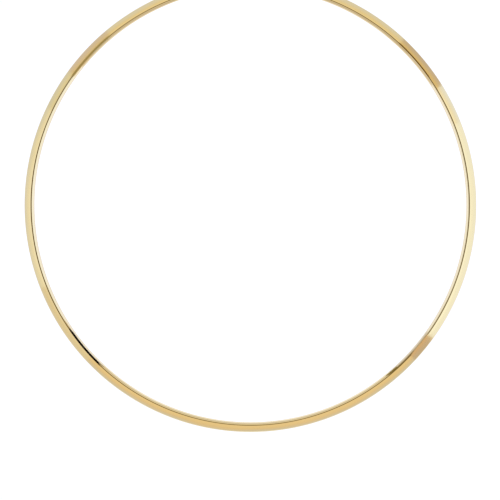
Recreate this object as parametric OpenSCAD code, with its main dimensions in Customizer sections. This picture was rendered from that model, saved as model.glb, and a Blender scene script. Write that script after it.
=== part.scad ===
/* [Ring] */
// Clear width of the neck opening, side to side
neck_w = 137.2; // [110:0.1:170]
// How much longer the opening is front to back than side to side
oval = 0.7; // [0:0.1:8]

/* [Band] */
// Width of the band, from its inner edge to its outer edge
band_w = 3.25; // [2.8:0.05:4]
// Height of the crest above the flat underside, before the crest is rounded
band_h = 1.9; // [1.8:0.05:2.4]
// Distance of the crest from the inner edge
crest_in = 0.85; // [0.8:0.01:1.1]
// How far the wide face falls from the crest to the outer edge
face_drop = 0.8; // [0.5:0.05:0.85]
// How far the narrow bevel falls from the crest to the inner edge
bevel_drop = 0.85; // [0.7:0.05:1]
// Rounding of the polished crest
crest_r = 0.65; // [0.3:0.05:0.8]
// Rounding of the other edges
edge_r = 0.25; // [0.1:0.05:0.3]

/* [Closure] */
// Length of the clasp along the ring, behind the neck
clasp_len = 12; // [10:0.5:20]
// How far the clasp stands proud of the band above and at both sides
clasp_proud = 0.2; // [0:0.05:0.4]
// Gap between each end of the band and the clasp
end_gap = 0.15; // [0.1:0.05:0.3]
// Width of the tongue at each end of the band
tongue_w = 1.7; // [1.2:0.1:1.8]
// Thickness of the tongue
tongue_t = 0.6; // [0.4:0.05:0.65]
// How far each tongue reaches into the clasp
tongue_len = 3.5; // [2:0.5:4]
// Clearance all round a tongue in its socket
socket_gap = 0.1; // [0.05:0.05:0.15]

/* [Hidden] */
$fn = 360;
GOLD = "#dcbd7a";
CLASP_GOLD = "#cfae69";
// Straight steps in each rounded corner of the section
CORNER_STEPS = 5;
// Tongue's place in the section: its middle across the band and its underside
tongue_mid = band_w / 2 + 0.1;
tongue_z = 0.4;
// The oval is four quarter arcs: flatter ones at the sides, tighter ones in front and behind.
// Where two meet, both have their centres on one line, so the band runs on without a corner.
arc_shift = oval / 2 / (2 - sqrt(2));
side_r = neck_w / 2 + arc_shift;
end_r = neck_w / 2 + oval / 2 - arc_shift;

// Turn about the closure's arc, in degrees, of a length measured along the middle of the band
function turn(length) = length / (end_r + band_w / 2) * 180 / PI;

half_clasp = turn(clasp_len / 2);
band_end = half_clasp + turn(end_gap);
tongue_end = half_clasp - turn(tongue_len);
socket_end = tongue_end - turn(socket_gap * 2);

// Points of one corner [x, z, radius] rounded between the corners before and after it
function corner(before, at, after) =
    let (
        p = [at.x, at.y],
        u = unit([before.x, before.y] - p),
        v = unit([after.x, after.y] - p),
        half = acos(u * v) / 2,
        centre = p + unit(u + v) * at.z / sin(half),
        start = p + u * at.z / tan(half) - centre,
        first = atan2(start.y, start.x),
        sweep = (180 - 2 * half) * sign(cross(p - [before.x, before.y], v))
    )
    [for (i = [0 : CORNER_STEPS]) centre + at.z * direction(first + sweep * i / CORNER_STEPS)];
function unit(v) = v / norm(v);
function direction(a) = [cos(a), sin(a)];

// A closed outline with every corner [x, z, radius] rounded
function rounded(corners) =
    let (n = len(corners))
    [for (i = [0 : n - 1]) each corner(corners[(i + n - 1) % n], corners[i], corners[(i + 1) % n])];

// The band's section, x outwards from its inner edge and y up: flat underside, upright sides,
// a wide face that falls outwards from the crest and a narrow bevel that falls inwards from it
function section(proud) = rounded([
    [-proud, 0, edge_r],
    [band_w + proud, 0, edge_r],
    [band_w + proud, band_h + proud - face_drop, edge_r],
    [crest_in, band_h + proud, crest_r],
    [-proud, band_h + proud - bevel_drop, edge_r],
]);

// The tongue's section, or its socket's when gap is the clearance
function tongue(gap) = [for (corner = [[-1, 0], [1, 0], [1, 1], [-1, 1]]) [
    tongue_mid + corner.x * (tongue_w / 2 + gap),
    tongue_z - gap + corner.y * (tongue_t + 2 * gap),
]];

// A section swept along an arc of inner radius r, from angle a by the angle sweep
module bow(points, r, a, sweep)
    rotate([0, 0, a]) rotate_extrude(angle = sweep) translate([r, 0]) polygon(points);

// Places a child on the tighter arc behind the neck
module behind() translate([0, arc_shift, 0]) children();

// A child and its mirror image on the other side of the neck
module both_sides() for (side = [0, 1]) mirror([side, 0, 0]) children();

module collar_band() color(GOLD) {
    both_sides() translate([-arc_shift, 0, 0]) bow(section(0), side_r, -45, 90);
    translate([0, -arc_shift, 0]) bow(section(0), end_r, 225, 90);
    behind() both_sides() {
        bow(section(0), end_r, 45, 45 - band_end);
        bow(tongue(0), end_r, 89 - band_end, 1 + band_end - tongue_end);
    }
}

module clasp() color(CLASP_GOLD) behind() difference() {
    bow(section(clasp_proud), end_r, 90 - half_clasp, 2 * half_clasp);
    both_sides() bow(tongue(socket_gap), end_r, 89 - half_clasp, 1 + half_clasp - socket_end);
}

collar_band();
clasp();
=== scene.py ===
from math import atan2, cos, degrees, radians, sin, sqrt, tan

import bmesh
import bpy
from mathutils import Matrix, Vector


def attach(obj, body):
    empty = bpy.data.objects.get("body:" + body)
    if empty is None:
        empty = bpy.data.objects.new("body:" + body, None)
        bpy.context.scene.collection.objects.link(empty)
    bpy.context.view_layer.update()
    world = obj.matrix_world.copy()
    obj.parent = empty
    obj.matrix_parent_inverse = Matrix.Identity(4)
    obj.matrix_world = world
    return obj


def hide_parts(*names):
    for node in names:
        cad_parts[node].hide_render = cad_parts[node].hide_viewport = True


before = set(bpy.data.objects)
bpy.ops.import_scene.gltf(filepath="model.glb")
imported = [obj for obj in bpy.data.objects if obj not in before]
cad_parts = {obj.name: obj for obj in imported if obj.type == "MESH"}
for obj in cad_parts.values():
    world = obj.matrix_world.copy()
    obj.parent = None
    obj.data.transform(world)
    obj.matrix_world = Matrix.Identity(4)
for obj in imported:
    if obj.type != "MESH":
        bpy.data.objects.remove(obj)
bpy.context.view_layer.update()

MM = 0.001

# Sizes in mm, as in the part's source: the neck opening and the band's section
NECK_WIDTH = 137.2
OVAL = 0.7
BAND_WIDTH = 3.25
BAND_HEIGHT = 1.9
CREST_IN = 0.85
FACE_DROP = 0.8
BEVEL_DROP = 0.85
CREST_ROUND = 0.65
EDGE_ROUND = 0.25

# The closure behind the neck
CLASP_LENGTH = 12
CLASP_PROUD = 0.2
END_GAP = 0.15
TONGUE_WIDTH = 1.7
TONGUE_THICK = 0.6
TONGUE_LENGTH = 3.5
TONGUE_UP = 0.4
SOCKET_GAP = 0.1
TONGUE_MIDDLE = BAND_WIDTH / 2 + 0.1
# Rounding of the edges round the band's ends, the clasp's, and a tongue's tip and sides
END_CHAMFER = 0.1
CLASP_CHAMFER = 0.18
TIP_CHAMFER = 0.08
TONGUE_ROUND = 0.12

# The four arcs of the oval meet 45 degrees either side of the front and the back. They are flatter
# at the sides and tighter in front and behind, where their inner radius is END_R.
ARC_SHIFT = OVAL / 2 / (2 - sqrt(2))
END_R = NECK_WIDTH / 2 + OVAL / 2 - ARC_SHIFT

# Straight steps in a degree of the band, and along a tongue
STEPS_PER_DEGREE = 1
TONGUE_STEPS = 8

# How much each hand-finished flat is crowned, in degrees either side of its middle, and how much
# of its width the crown's rounding takes up
CROWN = 1.5
CROWN_SHARE = 0.9

# Straight steps in each rounding of the section
CREST_STEPS = 18
OUTER_STEPS = 12
SOFT_STEPS = 8
TONGUE_CORNER_STEPS = 4

# A quarter circle in three steps: how far each goes across the end and how far along the band
QUARTER_ROUND = ((0.134, 0.5), (0.366, 0.366), (0.5, 0.134))

# Vertices nearer than this, in m, are one, and a cut runs through one nearer than CUT_NEAR
SAME_PLACE = 1e-7
CUT_NEAR = 1e-8
# The face whose middle is this near, in m, to the start of a tongue or socket is taken out
MOUTH_NEAR = 0.01 * MM
# Faces that meet at more than this many degrees keep a crisp edge between them
CRISP_ANGLE = 32


def arc_degrees(length):
    """Turn about the closure's arc of a length in mm along the middle of the band."""
    return degrees(length / (END_R + BAND_WIDTH / 2))


HALF_CLASP = arc_degrees(CLASP_LENGTH / 2)
BAND_END = HALF_CLASP + arc_degrees(END_GAP)
TONGUE_END = HALF_CLASP - arc_degrees(TONGUE_LENGTH)
SOCKET_END = TONGUE_END - arc_degrees(SOCKET_GAP * 2)


def pick(kind, test):
    """In edit mode, selects the vertices, edges or faces that the test says yes to."""
    bpy.ops.mesh.select_mode(type=kind)
    bpy.ops.mesh.select_all(action="DESELECT")
    mesh = bmesh.from_edit_mesh(bpy.context.edit_object.data)
    for element in {"VERT": mesh.verts, "EDGE": mesh.edges, "FACE": mesh.faces}[kind]:
        element.select_set(bool(test(element)))
    mesh.select_flush_mode()
    bmesh.update_edit_mesh(bpy.context.edit_object.data)


def cut(x, y, slope):
    """Cuts off what lies above a line through x, y that falls outwards by the slope in degrees."""
    bpy.ops.mesh.select_all(action="SELECT")
    up = (sin(radians(slope)), cos(radians(slope)), 0)
    bpy.ops.mesh.bisect(plane_co=(x * MM, y * MM, 0), plane_no=up, clear_outer=True,
                        threshold=CUT_NEAR)


def round_corner(x, y, radius, steps):
    """Rounds the section's corner nearest to x, y."""
    mesh = bmesh.from_edit_mesh(bpy.context.edit_object.data)
    place = Vector((x, y, 0)) * MM
    corner = min(mesh.verts, key=lambda v: (v.co - place).length)
    sides = [(e.other_vert(corner).co - corner.co).normalized() for e in corner.link_edges]
    half = sides[0].angle(sides[1]) / 2
    at = corner.co.copy()
    pick("VERT", lambda v: (v.co - at).length < SAME_PLACE)
    bpy.ops.mesh.bevel(offset=radius * MM / tan(half), segments=steps, profile=0.5,
                       affect="VERTICES", clamp_overlap=False)


def turn_selected(angle, axis, centre=(0, 0, 0)):
    """Turns what is selected anticlockwise, seen from the axis's far end."""
    bpy.ops.transform.rotate(value=-radians(angle), orient_axis=axis, center_override=centre)


def stand_at(angle, radius, centre):
    """Stands a flat section upright on the arc: its x runs outwards from the radius, its y up."""
    bpy.ops.mesh.select_all(action="SELECT")
    turn_selected(90, "X")
    bpy.ops.transform.translate(value=(radius * MM, 0, 0))
    turn_selected(angle, "Z")
    bpy.ops.transform.translate(value=centre * MM)


def new_section(name, proud):
    """The band's section, drawn flat: a plane cut to two crowned slopes, its corners rounded."""
    bpy.ops.object.select_all(action="DESELECT")
    bpy.ops.mesh.primitive_plane_add(size=1)
    piece = bpy.context.object
    piece.name = piece.data.name = name
    bpy.ops.object.mode_set(mode="EDIT")
    width = BAND_WIDTH + 2 * proud
    height = BAND_HEIGHT + proud
    bpy.ops.transform.resize(value=(width * MM, height * MM, 1))
    bpy.ops.transform.translate(value=(BAND_WIDTH / 2 * MM, height / 2 * MM, 0))
    outer = BAND_WIDTH + proud
    face_slope = degrees(atan2(FACE_DROP, outer - CREST_IN))
    bevel_slope = degrees(atan2(BEVEL_DROP, CREST_IN + proud))
    crest_reach = CREST_ROUND * tan(radians((face_slope + bevel_slope) / 2))
    crowns = []
    for side, slope, edge in ((1, face_slope, outer), (-1, bevel_slope, -proud)):
        edge_reach = EDGE_ROUND * tan(radians((90 - slope) / 2))
        run = side * (edge - CREST_IN) - (crest_reach + edge_reach) * cos(radians(slope))
        half = run / 2 / cos(radians(slope))
        out = (crest_reach + half) * cos(radians(slope))
        middle = (CREST_IN + side * out, height - out * tan(radians(slope)))
        crowns.append((middle, CROWN_SHARE * half / tan(radians(CROWN))))
        for lean in (-CROWN, CROWN):
            cut(*middle, side * slope + lean)
    round_corner(CREST_IN, height, CREST_ROUND, CREST_STEPS)
    round_corner(outer, height - FACE_DROP, EDGE_ROUND, OUTER_STEPS)
    round_corner(-proud, height - BEVEL_DROP, EDGE_ROUND, SOFT_STEPS)
    round_corner(outer, 0, EDGE_ROUND, SOFT_STEPS)
    round_corner(-proud, 0, EDGE_ROUND, SOFT_STEPS)
    for middle, radius in crowns:
        round_corner(*middle, radius, SOFT_STEPS)
    return piece


def sweep(angle, centre, steps=0):
    """Spins what is selected about an upright axis, anticlockwise seen from above."""
    steps = steps or round(abs(angle) * STEPS_PER_DEGREE)
    bpy.ops.mesh.spin(steps=steps, angle=-radians(angle), center=centre * MM, axis=(0, 0, 1))


def break_edge(chamfer):
    """Rounds the edge round the picked end face: three narrow insets carry the face outwards."""
    for across, along in QUARTER_ROUND:
        bpy.ops.mesh.inset(thickness=across * chamfer * MM, depth=along * chamfer * MM)


def pick_end(side):
    """Picks the widest face on that side of the closure: 1 is its right-hand end, -1 its left."""
    mesh = bmesh.from_edit_mesh(bpy.context.edit_object.data)
    ends = [f for f in mesh.faces if f.calc_center_median().x * side > 0]
    widest = max(ends, key=lambda f: f.calc_area()).index
    pick("FACE", lambda f: f.index == widest)


def new_bar(side, start, end, grow):
    """A tongue, or its socket when grow is its clearance, open where it starts."""
    bpy.ops.object.select_all(action="DESELECT")
    bpy.ops.mesh.primitive_plane_add(size=1)
    bar = bpy.context.object
    bpy.ops.object.mode_set(mode="EDIT")
    size = (TONGUE_WIDTH + 2 * grow, TONGUE_THICK + 2 * grow)
    bpy.ops.transform.resize(value=(size[0] * MM, size[1] * MM, 1))
    bpy.ops.transform.translate(value=(0, (TONGUE_UP + TONGUE_THICK / 2) * MM, 0))
    bpy.ops.mesh.bevel(offset=TONGUE_ROUND * MM, segments=TONGUE_CORNER_STEPS, affect="VERTICES")
    stand_at(90 - side * start, END_R + TONGUE_MIDDLE, BEHIND)
    sweep(side * (start - end), BEHIND, TONGUE_STEPS)
    break_edge(TIP_CHAMFER)
    mouth = Vector((sin(radians(side * start)), cos(radians(start)), 0)) * (END_R + TONGUE_MIDDLE)
    mouth = (mouth + BEHIND + Vector((0, 0, TONGUE_UP + TONGUE_THICK / 2))) * MM
    pick("FACE", lambda f: (f.calc_center_median() - mouth).length < MOUTH_NEAR)
    bpy.ops.mesh.delete(type="ONLY_FACE")
    bpy.ops.object.mode_set(mode="OBJECT")
    return bar


def fit_bars(piece, start, end, grow):
    """Opens both ends of a piece and joins a tongue or a socket to each rim."""
    for side in (1, -1):
        bpy.ops.object.mode_set(mode="EDIT")
        pick_end(side)
        bpy.ops.mesh.delete(type="ONLY_FACE")
        bpy.ops.object.mode_set(mode="OBJECT")
        bar = new_bar(side, start, end, grow)
        bpy.ops.object.select_all(action="DESELECT")
        bar.select_set(True)
        piece.select_set(True)
        bpy.context.view_layer.objects.active = piece
        bpy.ops.object.join()
        bpy.ops.object.mode_set(mode="EDIT")
        pick("EDGE", lambda e: e.is_boundary)
        bpy.ops.mesh.bridge_edge_loops()
        bpy.ops.object.mode_set(mode="OBJECT")


def finish_piece(piece):
    """Merges doubles, turns every face outwards and shades the rounded metal smooth."""
    bpy.ops.object.mode_set(mode="EDIT")
    bpy.ops.mesh.select_all(action="SELECT")
    bpy.ops.mesh.remove_doubles(threshold=SAME_PLACE)
    bpy.ops.mesh.normals_make_consistent(inside=False)
    bpy.ops.object.mode_set(mode="OBJECT")
    bpy.ops.object.shade_smooth_by_angle(angle=radians(CRISP_ANGLE))
    bpy.ops.object.modifier_add(type="WEIGHTED_NORMAL")
    piece.modifiers[-1].keep_sharp = True
    bpy.ops.object.modifier_apply(modifier=piece.modifiers[-1].name)


BEHIND = Vector((0, ARC_SHIFT, 0))

# The band, swept from its right-hand end at the clasp round the front to its left-hand end
band = new_section("collar_band_polished", 0)
band_start = BAND_END + arc_degrees(END_CHAMFER)
stand_at(90 - band_start, END_R, BEHIND)
sweep(band_start - 45, BEHIND)
sweep(-90, Vector((-ARC_SHIFT, 0, 0)))
sweep(-90, Vector((0, -ARC_SHIFT, 0)))
sweep(-90, Vector((ARC_SHIFT, 0, 0)))
sweep(band_start - 45, BEHIND)
for side in (1, -1):
    pick_end(side)
    break_edge(END_CHAMFER)
bpy.ops.object.mode_set(mode="OBJECT")
fit_bars(band, BAND_END, TONGUE_END, 0)
finish_piece(band)

# The clasp, one plain box over both tongues
clasp = new_section("clasp_polished", CLASP_PROUD)
clasp_start = HALF_CLASP - arc_degrees(CLASP_CHAMFER)
stand_at(90 - clasp_start, END_R, BEHIND)
sweep(2 * clasp_start, BEHIND)
for side in (1, -1):
    pick_end(side)
    break_edge(CLASP_CHAMFER)
bpy.ops.object.mode_set(mode="OBJECT")
fit_bars(clasp, HALF_CLASP, SOCKET_END, SOCKET_GAP)
finish_piece(clasp)


def linear(code):
    """An sRGB hex value as the linear colour that the shaders take."""
    parts = [int(code[i:i + 2], 16) / 255 for i in (1, 3, 5)]
    return [c / 12.92 if c <= 0.04045 else ((c + 0.055) / 1.055) ** 2.4 for c in parts]


def add(tree, kind, settings=None, links=None):
    """Adds a node. A setting or link is named for the node's own option or for its socket."""
    made = tree.nodes.new("ShaderNode" + kind)
    for name, value in (settings or {}).items():
        if isinstance(name, str) and hasattr(made, name):
            setattr(made, name, value)
        else:
            made.inputs[name].default_value = value
    for name, source in (links or {}).items():
        tree.links.new(source, made.inputs[name])
    return made


def new_material(name):
    """An empty node material, and its tree."""
    material = bpy.data.materials.new(name)
    material.use_nodes = True
    material.node_tree.nodes.clear()
    return material, material.node_tree


# Mean radius of the band in mm, which turns an angle round the neck into a length along the band
BAND_R = 70


def polished_gold(name, light_gold, deep_gold, smooth, worn, scratches):
    """14 ct yellow gold, buffed along the band: a mirror that shows the room's tones with crisp
    ends, drawn out a little by the wheel's fine lines. Smooth and worn are its roughness where
    it is freshest and where it is most rubbed, and scratches is how much a hairline adds."""
    material, tree = new_material(name)
    place = add(tree, "TexCoord").outputs["Object"]
    xyz = add(tree, "SeparateXYZ", links={0: place})
    forward = add(tree, "Math", {"operation": "MULTIPLY", 1: -1.0}, {0: xyz.outputs["Y"]})
    turned = add(tree, "Math", {"operation": "ARCTAN2"},
                 {0: xyz.outputs["X"], 1: forward.outputs[0]})
    along = add(tree, "Math", {"operation": "MULTIPLY", 1: BAND_R * MM}, {0: turned.outputs[0]})
    flat = add(tree, "VectorMath", {"operation": "MULTIPLY", 1: (1, 1, 0)}, {0: place})
    outwards = add(tree, "VectorMath", {"operation": "LENGTH"}, {0: flat.outputs[0]})
    band_place = add(tree, "CombineXYZ", links={
        "X": along.outputs[0], "Y": outwards.outputs["Value"], "Z": xyz.outputs["Z"]})

    # Buffing lines: 9 mm long and 0.15 mm apart, where a wheel's are finer than the eye sees
    buffed = add(tree, "VectorMath", {"operation": "MULTIPLY",
                 1: (1 / (9 * MM), 1 / (0.15 * MM), 1 / (0.15 * MM))}, {0: band_place.outputs[0]})
    lines = add(tree, "TexNoise", {"Scale": 1.0, "Detail": 3.0, "Roughness": 0.6},
                {"Vector": buffed.outputs[0]})
    # Hand finishing leaves the flats a little uneven, over about 14 mm
    filed = add(tree, "VectorMath", {"operation": "MULTIPLY",
                1: (1 / (14 * MM), 1 / (5 * MM), 1 / (5 * MM))}, {0: band_place.outputs[0]})
    swell = add(tree, "TexNoise", {"Scale": 1.0, "Detail": 1.0}, {"Vector": filed.outputs[0]})
    # Hairline scratches from wear lie across the lines, about 4 mm long
    crossed = add(tree, "Mapping", {"Rotation": (0, 0, radians(34)),
                  "Scale": (1 / (4 * MM), 1 / (0.11 * MM), 1 / (0.11 * MM))},
                  {"Vector": band_place.outputs[0]})
    hair = add(tree, "TexNoise", {"Scale": 1.0, "Detail": 0.0}, {"Vector": crossed.outputs[0]})
    scratch = add(tree, "MapRange", {"From Min": 0.70, "From Max": 0.78, "To Max": scratches},
                  {"Value": hair.outputs["Fac"]})
    # The alloy and its skin of handling vary over a few centimetres
    cloud = add(tree, "TexNoise", {"Scale": 1 / (28 * MM), "Detail": 2.0}, {"Vector": place})
    golds = {6: (*linear(deep_gold), 1), 7: (*linear(light_gold), 1)}
    colour = add(tree, "Mix", {"data_type": "RGBA", **golds}, {0: cloud.outputs["Fac"]})
    # The crest, at the top of the section, is rubbed first and is a little rougher
    crest = add(tree, "MapRange", {"From Min": 1.6 * MM, "From Max": 1.8 * MM, "To Max": 0.1},
                {"Value": xyz.outputs["Z"]})
    use = add(tree, "Math", {"operation": "ADD"}, {0: lines.outputs["Fac"], 1: crest.outputs[0]})
    rubbed = add(tree, "Math", {"operation": "ADD"}, {0: use.outputs[0], 1: scratch.outputs[0]})
    rough = add(tree, "MapRange", {
        "From Min": 0.3, "From Max": 1.2, "To Min": smooth, "To Max": worn},
        {"Value": rubbed.outputs[0]})
    uneven = add(tree, "Bump", {"Strength": 1.0, "Distance": 0.03 * MM},
                 {"Height": swell.outputs["Fac"]})
    grain = add(tree, "Bump", {"Strength": 1.0, "Distance": 0.0003 * MM},
                {"Height": lines.outputs["Fac"], "Normal": uneven.outputs[0]})
    shader = add(tree, "BsdfPrincipled", {"Metallic": 1.0}, {
        "Base Color": colour.outputs[2], "Roughness": rough.outputs[0], "Normal": grain.outputs[0]})
    add(tree, "OutputMaterial", links={"Surface": shader.outputs[0]})
    return material


band_gold = polished_gold("mirror_polished_gold", "#FFE4B0", "#FADFA2", 0.045, 0.10, 0.5)
clasp_gold = polished_gold("hand_worn_gold", "#FBDDA4", "#F2D294", 0.08, 0.18, 1.0)

for piece, material, node, slot in (
    (band, band_gold, "collar_band", "polished_gold"),
    (clasp, clasp_gold, "clasp", "clasp_gold"),
):
    piece.data.materials.append(material)
    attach(piece, "root")
    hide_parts(node)

# The camera looks straight down the ring's axis, over the middle of the photograph's frame
scene = bpy.context.scene
camera = bpy.data.objects.new("camera", bpy.data.cameras.new("camera"))
scene.collection.objects.link(camera)
camera.location = (-0.13 * MM, -14.28 * MM, 0.6012)
camera.data.lens = 136
camera.data.sensor_width = 36
camera.data.clip_start = 0.01
scene.camera = camera
scene.view_settings.view_transform = "Standard"


def lit(name, *stops):
    """Stage cloth lit from behind. Each stop is a height in m, an sRGB hex value and a brightness,
    and the light falls off softly from one to the next, as it does across a real cloth."""
    material, tree = new_material(name)
    place = add(tree, "TexCoord").outputs["Object"]
    up = add(tree, "SeparateXYZ", links={0: place}).outputs["Z"]
    tones = [(*[c * bright for c in linear(code)], 1) for _, code, bright in stops]
    glow = add(tree, "Emission", {"Color": tones[0]})
    for k in range(1, len(stops)):
        rise = {"From Min": stops[k - 1][0], "From Max": stops[k][0]}
        share = add(tree, "MapRange", rise, {"Value": up})
        pair = {6: tones[k - 1], 7: tones[k]}
        mixed = add(tree, "Mix", {"data_type": "RGBA", "clamp_result": False, **pair},
                    {0: share.outputs[0]})
        if k > 1:
            tree.links.new(below.outputs[2], mixed.inputs[6])
        tree.links.new(mixed.outputs[2], glow.inputs["Color"])
        below = mixed
    add(tree, "OutputMaterial", links={"Surface": glow.outputs[0]})
    return material


# Degrees of each straight step in a cloth that stands round the ring
CLOTH_STEP = 3


def screen(name, start, end, fold, material, behind=0):
    """Stage cloth round the ring from one azimuth to another, anticlockwise, folded through the
    given places: how far out and how high each is. It is seen only in the metal. Its own middle
    lies so many mm behind the ring's, because the camera stands in front of the ring's middle."""
    bpy.ops.object.select_all(action="DESELECT")
    bpy.ops.mesh.primitive_plane_add(size=0.01)
    cloth = bpy.context.object
    cloth.name = cloth.data.name = name
    bpy.ops.object.mode_set(mode="EDIT")
    pick("VERT", lambda v: True)
    bpy.ops.mesh.merge(type="CENTER")
    bpy.ops.transform.translate(value=(fold[0][0], 0, fold[0][1]))
    for near, far in zip(fold, fold[1:]):
        bpy.ops.mesh.extrude_region_move(
            TRANSFORM_OT_translate={"value": (far[0] - near[0], 0, far[1] - near[1])})
    bpy.ops.mesh.select_all(action="SELECT")
    turn_selected(start, "Z")
    bpy.ops.transform.translate(value=(0, behind * MM, 0))
    sweep(end - start, Vector((0, behind, 0)), max(2, round((end - start) / CLOTH_STEP)))
    bpy.ops.object.mode_set(mode="OBJECT")
    cloth.data.materials.append(material)
    cloth.visible_camera = False


# A light table just under the ring, whose cool white also fills the bevel's inner edge
bpy.ops.object.select_all(action="DESELECT")
bpy.ops.mesh.primitive_plane_add(size=30)
floor = bpy.context.object
floor.name = floor.data.name = "floor"
floor.data.materials.append(lit("light_table", (0, "#DFE7FF", 1.38)))
floor.location.z = -0.05 * MM

# Soft lights stand round the ring. EDGE is the strip just over the table, which the bevel across
# the ring reflects, CARD the upright cloth above it, and LEAN where it leans in over the ring.
# Each side has its two azimuths, the tone of its leaning cloth and the stops of its upright one.
EDGE = [(0.62, 0.004), (0.62, 0.12)]
CARD = [(0.62, 0.12), (0.62, 0.62)]
LEAN = [(0.62, 0.62), (0.20, 0.86)]
SIDES = {
    "right": (-34.5, 23, ("#DAE9FF", 1.45),
              [(0.50, "#CFDFFF", 1.42), (0.66, "#DFECFF", 1.32)]),
    "right_end": (23, 33.2, ("#F2FBFF", 1.12),
                  [(0.50, "#C3D6FF", 1.46), (0.60, "#F0F7FF", 1.02)]),
    "right_behind": (33.2, 48.2, ("#FFF0C7", 0.70),
                     [(0.50, "#ECEBFF", 0.63), (0.60, "#FFF0C7", 0.70)]),
    "behind": (48.2, 128.8, ("#FFFCE9", 0.85),
               [(0.30, "#EEF4FF", 0.60), (0.50, "#DAE7FF", 0.98), (0.60, "#FFF9DE", 0.80)]),
    "left_behind": (128.8, 142.5, ("#FFF6E2", 0.45),
                    [(0.30, "#FFFCF4", 0.45), (0.50, "#DCDFFF", 0.88), (0.60, "#FFF6E2", 0.70)]),
    "left_end": (142.5, 153, ("#EEF3EC", 0.78),
                 [(0.50, "#D4E2FF", 0.96), (0.60, "#F4F9F0", 0.84)]),
    "left": (153, 200, ("#EEF7FF", 1.04),
             [(0.50, "#D4E2FF", 1.00), (0.60, "#F4FBFF", 0.93)]),
    "left_front": (200, 222, ("#FEFFFB", 0.80),
                   [(0.50, "#D7E1FF", 0.98), (0.60, "#FFFEF3", 0.76)]),
    "front": (222, 318.3, ("#FFF4DA", 0.81),
              [(0.30, "#F2F6FF", 0.52), (0.50, "#B7D2FF", 1.10), (0.60, "#FFF3DE", 0.77)]),
}
for side, (start, end, over, stops) in SIDES.items():
    screen("light_" + side, start, end, CARD, lit("soft_light_" + side, *stops))
    screen("lean_" + side, start, end, LEAN, lit("soft_light_over_" + side, (0, *over)))

side_edge = lit("table_edge_side", (0.03, "#C5D3FF", 1.40), (0.10, "#CEDBFF", 1.60))
front_edge = lit("table_edge_front", (0.038, "#CDDDFF", 1.65), (0.105, "#FFF8F8", 0.61))
dim_edge = lit("table_edge_left_behind", (0.045, "#C4D2FF", 1.40), (0.118, "#FEF9FF", 0.455))
for start, end, material in ((-38, 48, side_edge), (48, 129, front_edge), (129, 143.5, dim_edge),
                             (143.5, 212, side_edge), (212, 322, front_edge)):
    screen("table_edge", start, end, EDGE, material)

# How far behind the ring's middle, in mm, the middle of a near cloth and of a far one lies
NEAR = 1.2
FAR = 18
# Small cards close over the ring make its dark and warm patches, each tilted so that the far side
# of the ring sees it edge on. The low cards stand across the ring from them, for the bevel.
black = lit("black_cloth", (0, "#33200B", 0.15))
brown = lit("brown_cloth", (0, "#FFCF66", 0.16))
olive = lit("olive_cloth", (0, "#FFED95", 0.215))
dim_olive = lit("dim_olive_cloth", (0, "#FFF4BF", 0.35))
warm = lit("warm_cloth", (0.075, "#FFE7D3", 0.66), (0.084, "#F3F2FF", 0.59))
screen("black_card", 214.85, 227.05, [(0.022, 0.025), (0.0975, 0.0442)], black, NEAR)
screen("black_low_card", 34.9, 47.0, [(0.60, 0.097), (0.60, 0.40)], black, FAR)
screen("brown_card", 35.5, 47.5, [(0.0487, 0.0379), (0.1131, 0.0576)], brown, NEAR)
screen("dim_olive_card", 130, 144, [(0.030, 0.0381), (0.1351, 0.0765)], dim_olive, NEAR)
screen("olive_card", -51.2, -47.2, [(0.022, 0.025), (0.0566, 0.0338)], olive, NEAR)
screen("narrow_olive_card", -47.2, -42.3, [(0.022, 0.025), (0.0490, 0.0318)], olive, NEAR)
screen("olive_low_card", 128.9, 132.8, [(0.60, 0.062), (0.60, 0.33)], olive, FAR)
screen("brown_left_card", 145, 212, [(0.0545, 0.0331), (0.0638, 0.0354)], brown, NEAR)
screen("warm_card", -42.8, -36.3, [(0.0478, 0.0445), (0.176, 0.0912)], warm, NEAR)
# A low light close round the ring fills its outer rounding. The bevel across the ring sees it
# edge on.
outer_edge = lit("outer_edge_cloth", (0, "#D6E3FF", 1.45))
screen("outer_edge_light", 0, 360, [(0.0800, 0.00782), (0.1200, 0.00942)], outer_edge, NEAR)
# A plain tent closes the room above and beyond the lights
tent_cloth = lit("tent_cloth", (0, "#FFF0DE", 0.63))
screen("tent", 0, 360, [(1.2, 0.0), (1.2, 0.9), (0.5, 1.4), (0.001, 1.4)], tent_cloth)

# The dark opening that the camera looks down through, seen along the crest as a fine dark line.
# Its brown cloth is thickest in the middle, begins to thin at the core's share of these half
# sizes and is gone at the rim's, so the line's edges are soft.
OPENING = (0.285, 0.178)
OPENING_CORE = 0.35
OPENING_RIM = 1.65
bpy.ops.object.select_all(action="DESELECT")
bpy.ops.mesh.primitive_circle_add(vertices=64, radius=1, fill_type="NGON",
                                  location=(-0.12, 0, 0.62))
opening = bpy.context.object
opening.name = opening.data.name = "camera_opening"
reach = [OPENING_RIM * half for half in OPENING]
opening.data.transform(Matrix.Diagonal((*reach, 1, 1)))
thinning, tree = new_material("thinning_dark_cloth")
place = add(tree, "TexCoord").outputs["Object"]
across = add(tree, "VectorMath", {
    "operation": "MULTIPLY", 1: (1 / OPENING[0], 1 / OPENING[1], 0)}, {0: place})
out = add(tree, "VectorMath", {"operation": "LENGTH"}, {0: across.outputs[0]})
thin = add(tree, "MapRange", {"From Min": OPENING_CORE, "From Max": OPENING_RIM},
           {"Value": out.outputs["Value"]})
dark = add(tree, "Emission", {"Color": (*linear("#45340A"), 1)})
clear = add(tree, "BsdfTransparent")
cloth = add(tree, "MixShader", links={0: thin.outputs[0], 1: dark.outputs[0], 2: clear.outputs[0]})
add(tree, "OutputMaterial", links={"Surface": cloth.outputs[0]})
opening.data.materials.append(thinning)
opening.visible_camera = False

# Plain white beyond the stage
world = bpy.data.worlds.new("studio")
scene.world = world
world.use_nodes = True
world.node_tree.nodes["Background"].inputs["Color"].default_value = (*linear("#FFFFFF"), 1)
